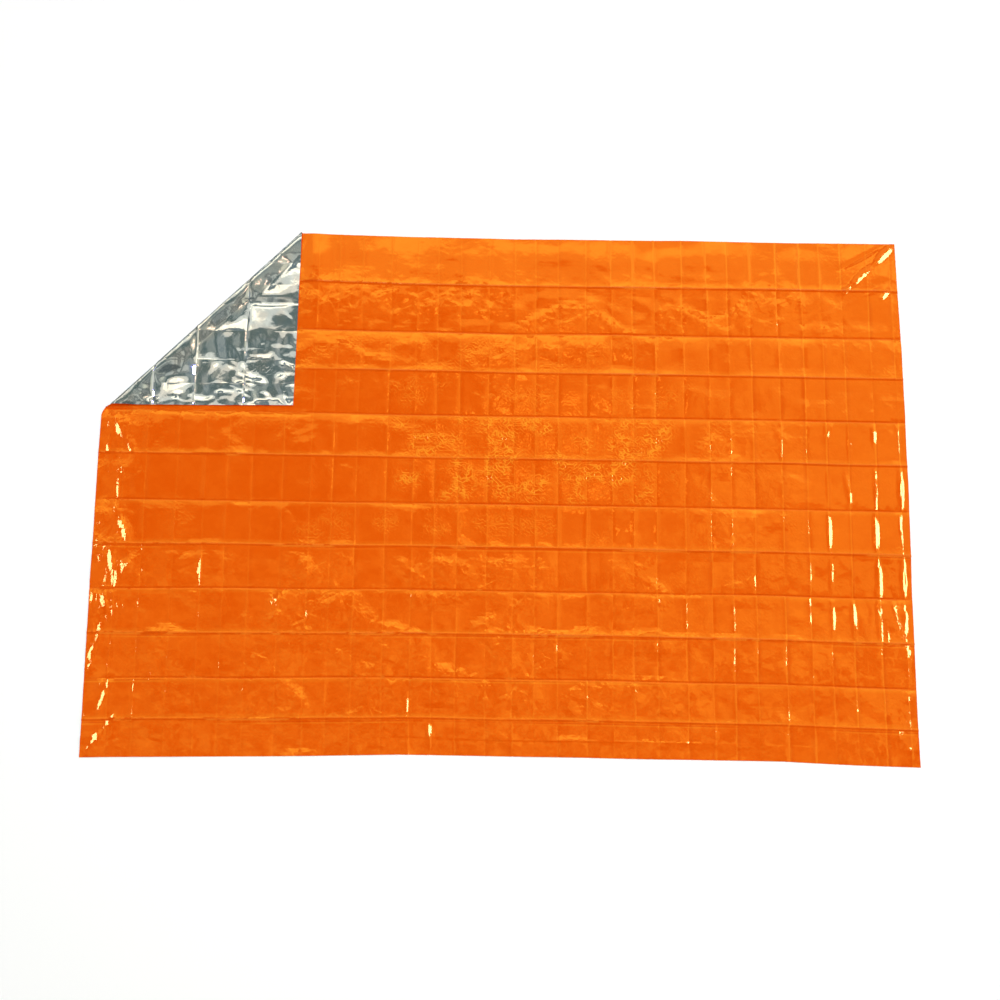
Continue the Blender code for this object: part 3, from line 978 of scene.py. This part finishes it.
def drawn_in(along, across):
    """How far places of the film lie from their places on a flat rectangle, as the edges are drawn in."""
    far = table_values(LONG_EDGES, "far", along)
    near = table_values(LONG_EDGES, "near", along)
    left = table_values(SHORT_EDGES, "left", across)
    right = table_values(SHORT_EDGES, "right", across)
    to_right = along / LENGTH
    to_near = across / WIDTH
    shift_along = left * (1.0 - to_right) ** 2 - right * to_right**2
    shift_across = far * (1.0 - to_near) ** 2 - near * to_near**2
    shift_along += WANDER * swell(along, across, WANDER_SIZE, 1.0, WANDER_ALONG_LAYER)
    shift_across += WANDER * swell(along, across, WANDER_SIZE, WANDER_STRETCH, WANDER_ACROSS_LAYER)
    return shift_along, shift_across


def inside_area(area, edge):
    """Whether an edge inside an area is one that is cut: one along the film, or any where both ways are."""
    first, second = (vertex.co for vertex in edge.verts)
    middle = (first + second) / 2.0
    cut_here = area.both_ways or abs(second.y - first.y) < ON_LINE
    return cut_here and area.along < middle.x < area.to_along and area.across < middle.y < area.to_across


def on_a_line(first, second, lines):
    """Whether two places, counted in one direction, are both on the same line."""
    return abs(second - first) < ON_LINE and min(abs(first - line) for line in lines) < ON_LINE


def crisp_edges(mesh):
    """The edges on the lines of the creases and at the film's own edges, which the shading doesn't round."""
    pleats = [pleat.across for pleat in PLEATS] + [LAST_CREASE]
    crosses = [along for along, _ in cross_creases()]
    for edge in mesh.edges:
        first, second = (vertex.co for vertex in edge.verts)
        on_pleat = on_a_line(first.y, second.y, pleats)
        on_cross = on_a_line(first.x, second.x, crosses)
        if edge.is_boundary or on_pleat or on_cross:
            yield edge.index


def flat_film(bend):
    """The film in its own plane: a grid with lines at its creases, cut along its bend, finer where turned."""
    columns = grid_lines([along for along, _ in cross_creases()], CROSS_FLANK, LENGTH, STEP_ALONG)
    rows = grid_lines([pleat.across for pleat in PLEATS] + [LAST_CREASE], PLEAT_FLANK, WIDTH, STEP_ACROSS)
    mesh = bmesh.new()
    bmesh.ops.create_grid(mesh, x_segments=len(columns) - 1, y_segments=len(rows) - 1, size=GRID_HALF)
    for vertex in mesh.verts:
        column = round((vertex.co.x + GRID_HALF) * (len(columns) - 1))
        row = round((vertex.co.y + GRID_HALF) * (len(rows) - 1))
        vertex.co = (columns[column], rows[row], 0.0)
    for area in FINE_AREAS:
        wide = [edge for edge in mesh.edges if inside_area(area, edge) and edge.calc_length() > CUT_ABOVE]
        bmesh.ops.subdivide_edges(mesh, edges=wide, cuts=2, use_grid_fill=True)
    turned = [face for face in mesh.faces if bend.past(*face.calc_center_median()[:2]) > 0.0]
    edges = list({edge for face in turned for edge in face.edges})
    bmesh.ops.subdivide_edges(mesh, edges=edges, cuts=1, use_grid_fill=True)
    for place, direction in bend.cut_lines():
        everything = mesh.verts[:] + mesh.edges[:] + mesh.faces[:]
        bmesh.ops.bisect_plane(
            mesh, geom=everything, plane_co=place.to_3d(), plane_no=direction.to_3d(), dist=CUT_SNAP
        )
    bmesh.ops.triangulate(mesh, faces=[face for face in mesh.faces if len(face.verts) > 4])
    return mesh


def finished(name, mesh):
    """A bmesh made a mesh."""
    made = bpy.data.meshes.new(name)
    mesh.to_mesh(made)
    mesh.free()
    return made


def placed(name, data):
    """A new object in the scene."""
    item = bpy.data.objects.new(name, data)
    bpy.context.scene.collection.objects.link(item)
    return item


def film_mesh(bend):
    """The film folded into its place, orange face up, and the edges on its creases."""
    mesh = flat_film(bend)
    film_uv = mesh.loops.layers.uv.new("film")
    for face in mesh.faces:
        for loop in face.loops:
            loop[film_uv].uv = loop.vert.co.xy
    mesh.edges.index_update()
    crisp_lines = list(crisp_edges(mesh))
    along = np.array([vertex.co.x for vertex in mesh.verts])
    across = np.array([vertex.co.y for vertex in mesh.verts])
    for name, values in film_amounts(along, across).items():
        layer = mesh.verts.layers.float.new(name)
        for vertex, value in zip(mesh.verts, values):
            vertex[layer] = value
    to_edge = np.minimum(np.minimum(along, LENGTH - along), np.minimum(across, WIDTH - across))
    rest = EDGE_FLOAT + (FLOAT - EDGE_FLOAT) * smooth(to_edge / EDGE_SETTLE)
    height = (rest + film_relief(along, across)) * bend.relief_share(along, across)
    reach = bend.coordinates(along, across)[0]
    crumple = turned_relief(along, across, reach, bend.past(along, across))
    for vertex, point in zip(mesh.verts, np.column_stack(bend.turned(along, across, height, crumple))):
        vertex.co = point
    bmesh.ops.reverse_faces(mesh, faces=mesh.faces[:])
    return finished("foil_film", mesh), crisp_lines


def blanket():
    """The whole film: silver face below, orange face above, turned over at its corner."""
    film, crisp_lines = film_mesh(Bend())
    film.materials.append(orange_finish())
    film.materials.append(silver_finish())
    film.shade_smooth()
    film.set_sharp_from_angle(angle=math.radians(CRISP_ANGLE))
    sharp = film.attributes["sharp_edge"].data
    for index in crisp_lines:
        sharp[index].value = True
    sheet = placed("foil_film", film)
    wall = sheet.modifiers.new("Thickness", "SOLIDIFY")
    wall.thickness = FILM_THICKNESS
    wall.offset = 1.0
    wall.use_even_offset = True
    wall.material_offset = 1
    wall.material_offset_rim = 1

    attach(sheet, "root")
    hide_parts("blanket")


# ----- Floor, light and camera -----

FLOOR_HALF = 40.0
FLOOR_LEVEL = -0.0005
FLOOR_ROUGHNESS = 0.8
# The floor glows a little away from the film, so that it stays as pale there as under the fill light.
GLOW_FROM = 1.6
GLOW_TO = 8.0
FLOOR_GLOW = (0.600, 0.600, 0.610, 1.0)
NO_GLOW = (0.0, 0.0, 0.0, 1.0)
# What is seen behind the floor.
BACKDROP = (0.970, 0.970, 0.970, 1.0)

CAMERA_PLACE = (-0.1385, -0.9609, 4.0943)
CAMERA_TURN = (12.811, -1.851, 0.579)
LENS_MM = 57.6
SENSOR_MM = 36.0
CLIP_END = 200.0

# Soft boxes: their middle, the place that they face, their two sizes, and the brightness of their surface.
SoftBox = namedtuple("SoftBox", "name place faces width height brightness colour mirrored")
SOFT_BOXES = table(
    SoftBox,
    ("box_right", (3.60, 0.55, 3.10), (0.4, 0.0, 0.0), 1.3, 1.3, 13.0, (0.95, 0.86, 3.00), True),
    ("box_left", (-3.40, 0.30, 3.20), (-0.4, 0.0, 0.0), 1.1, 1.5, 10.0, (0.95, 0.84, 3.10), True),
    ("box_over", (0.31, 1.15, 4.20), (0.31, 1.15, 0.0), 0.56, 0.16, 2.2, (1.0, 0.55, 0.42), True),
    ("fill", (0.60, 0.50, 6.00), (0.60, 0.50, 0.0), 5.0, 5.0, 3.85, (1.0, 1.0, 1.03), False),
)

# The room that the film mirrors, by lean: how far over from straight up a direction leans, as a tangent,
# towards +X and +Y. Each patch lies over the ones before it; beyond them all are bright walls.
BRIGHT_WALLS = (0.790, 0.770, 0.690, 1.0)
RoomPatch = namedtuple("RoomPatch", "from_x to_x from_y to_y soft colour")
ROOM_PATCHES = table(
    RoomPatch,
    (-9.00, 9.00, 0.600, 0.780, 0.060, (0.110, 0.160, 0.180, 1.0)),
    (0.360, 0.900, 0.345, 0.750, 0.050, (1.500, 1.420, 1.180, 1.0)),
    (-0.32, 0.34, 0.470, 0.620, 0.030, (1.700, 1.560, 1.250, 1.0)),
    (-0.40, 0.42, -0.60, 0.345, 0.010, (0.075, 0.115, 0.112, 1.0)),
    (-0.90, -0.23, -0.20, 0.345, 0.140, (0.180, 0.220, 0.220, 1.0)),
    (0.02, 0.50, 0.120, 0.345, 0.120, (0.220, 0.250, 0.230, 1.0)),
    (0.16, 0.60, -0.60, 0.345, 0.160, (0.620, 0.620, 0.500, 1.0)),
    (-0.90, 0.90, -1.30, -0.14, 0.100, (0.060, 0.080, 0.080, 1.0)),
    (-0.36, 0.36, -0.12, 0.112, 0.020, (0.110, 0.130, 0.125, 1.0)),
    (-0.36, -0.13, -0.10, 0.050, 0.050, (0.480, 0.480, 0.430, 1.0)),
    (-0.03, 0.11, -0.10, 0.056, 0.050, (0.420, 0.440, 0.400, 1.0)),
    (-9.00, -0.60, 0.50, 9.000, 0.150, (0.060, 0.085, 0.090, 1.0)),
)
# Mottles over it: their size as lean, where in their noise they begin and are whole, how high a direction
# points where they begin and are whole, how far they show, and their colour.
MOTTLE_SIZE = 0.150
MOTTLE_NOISE = (0.48, 0.58)
MOTTLE_RISE = (0.10, 0.30)
MOTTLE_SHARE = 0.30
MOTTLE_COLOUR = (0.420, 0.440, 0.400, 1.0)
# A patch that reaches so far has no edge on that side.
OPEN = 9.0
# How far the edges of the patches wave, how many waves there are to a lean of 1, and the lowest that a
# direction points for its lean to be read.
EDGE_WAVE = 0.050
EDGE_WAVES = 6.0
LOWEST_RISE = 0.05


def floor():
    mesh = bmesh.new()
    bmesh.ops.create_grid(mesh, x_segments=1, y_segments=1, size=FLOOR_HALF)
    bmesh.ops.translate(mesh, verts=mesh.verts[:], vec=(0.0, 0.0, FLOOR_LEVEL))
    plane = finished("floor", mesh)
    material = bpy.data.materials.new("pale_floor")
    nodes = Nodes(material)
    place = nodes.add("ShaderNodeTexCoord")["Object"]
    away = nodes.add("ShaderNodeVectorMath", {"operation": "LENGTH"}, {0: place})["Value"]
    glow = mixed(nodes, away.above(GLOW_FROM, GLOW_TO), NO_GLOW, FLOOR_GLOW)
    surface = {"Base Color": FLOOR_WHITE, "Roughness": FLOOR_ROUGHNESS}
    principled(nodes, surface | {"Emission Color": glow, "Emission Strength": 1.0})
    plane.materials.append(material)
    placed("floor", plane)


def room():
    """The light from all sides, in patches of the ceiling and the walls."""
    world = bpy.data.worlds.new("room")
    bpy.context.scene.world = world
    world.cycles.sampling_method = "NONE"
    nodes = Nodes(world)
    direction = nodes.add("ShaderNodeTexCoord")["Generated"]
    parts = nodes.add("ShaderNodeSeparateXYZ", None, {"Vector": direction})
    up = parts["Z"].math("MAXIMUM", parts["Z"], LOWEST_RISE)
    lean = nodes.add("ShaderNodeCombineXYZ", None, {"X": parts["X"] / up, "Y": parts["Y"] / up})["Vector"]
    wave = nodes.add("ShaderNodeTexNoise", None, {"Vector": lean, "Scale": EDGE_WAVES, "Detail": 0.0})["Fac"]
    shift = (wave - 0.5) * EDGE_WAVE
    lean_x = parts["X"] / up + shift
    lean_y = parts["Y"] / up + shift
    colour = BRIGHT_WALLS
    for patch in ROOM_PATCHES:
        half = patch.soft / 2.0
        sides = []
        for lean_here, low, high in ((lean_y, patch.from_y, patch.to_y), (lean_x, patch.from_x, patch.to_x)):
            if low > -OPEN:
                sides.append(lean_here.above(low - half, low + half))
            if high < OPEN:
                sides.append(1.0 - lean_here.above(high - half, high + half))
        colour = mixed(nodes, math.prod(sides[1:], start=sides[0]), colour, patch.colour)
    inputs = {"Vector": lean, "Scale": 1.0 / MOTTLE_SIZE, "Detail": 0.0}
    mottles = nodes.add("ShaderNodeTexNoise", None, inputs)["Fac"].above(*MOTTLE_NOISE) * MOTTLE_SHARE
    colour = mixed(nodes, mottles * parts["Z"].above(*MOTTLE_RISE), colour, MOTTLE_COLOUR)
    colour = mixed(nodes, nodes.add("ShaderNodeLightPath")["Is Camera Ray"], colour, BACKDROP)
    background = nodes.add("ShaderNodeBackground", None, {"Color": colour, "Strength": 1.0})["Background"]
    nodes.add("ShaderNodeOutputWorld", None, {"Surface": background})


def soft_boxes():
    for box in SOFT_BOXES:
        light = bpy.data.lights.new(box.name, "AREA")
        light.shape = "RECTANGLE"
        light.size = box.width
        light.size_y = box.height
        light.energy = box.brightness * box.width * box.height * math.pi
        light.color = box.colour
        lamp = placed(box.name, light)
        lamp.location = box.place
        towards = Vector(box.faces) - Vector(box.place)
        lamp.rotation_euler = towards.to_track_quat("-Z", "Y").to_euler()
        lamp.visible_camera = False
        lamp.visible_glossy = box.mirrored
        lamp.visible_diffuse = not box.mirrored


def camera():
    lens = bpy.data.cameras.new("camera")
    lens.lens = LENS_MM
    lens.sensor_width = SENSOR_MM
    lens.clip_end = CLIP_END
    eye = placed("camera", lens)
    eye.location = CAMERA_PLACE
    eye.rotation_euler = [math.radians(angle) for angle in CAMERA_TURN]
    bpy.context.scene.camera = eye


camera()
blanket()
floor()
room()
soft_boxes()
bpy.context.scene.view_settings.view_transform = "Standard"
